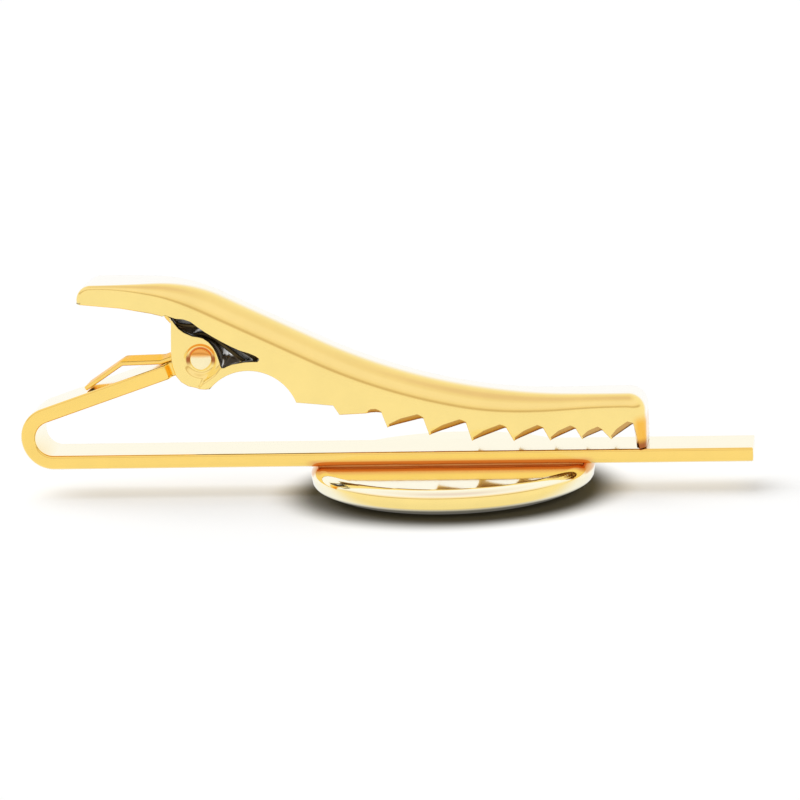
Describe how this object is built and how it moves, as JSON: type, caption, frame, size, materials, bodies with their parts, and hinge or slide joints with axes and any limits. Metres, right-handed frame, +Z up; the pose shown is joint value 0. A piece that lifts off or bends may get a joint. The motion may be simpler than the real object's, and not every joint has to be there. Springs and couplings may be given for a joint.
{
  "type": "tie clip",
  "caption": "Hinged tie clip lying face down: a folded strip bar with a round disc soldered to its front, and a sprung, toothed clamping jaw with a thumb tab.",
  "frame": {"origin": "middle of the disc's flat face, on the surface that the clip lies on", "axes": "+X along the bar to its free end and the jaw's nose, +Y across the bar, +Z up from the disc's face through the bar to the jaw"},
  "size_m": [0.0514, 0.0198, 0.0153],
  "materials": {
    "bar_gold": "polished gold plate",
    "jaw_gold": "polished gold plate over stamped sheet",
    "disc_gold": "polished gold plate",
    "spring_gold": "gold plate over spring steel",
    "pin_gold": "peened ends, polished",
    "solder": "smooth solder"
  },
  "bodies": {
    "bar": {"front_bar": "bar_gold", "jaw_spring": "spring_gold", "round_disc": "disc_gold", "disc_solder": "solder"},
    "jaw": {"clip_jaw": "jaw_gold", "hinge_pin": "pin_gold"}
  },
  "joints": [
    {"name": "jaw_hinge", "type": "hinge", "parent": "bar", "child": "jaw", "pos_m": [-0.01723, 0, 0.00985], "axis": [0, -1, 0], "range_deg": [0, 30], "stiffness_Nm_per_rad": 0.1, "springref_deg": -34.38, "deforming": ["jaw_spring"]}
  ]
}
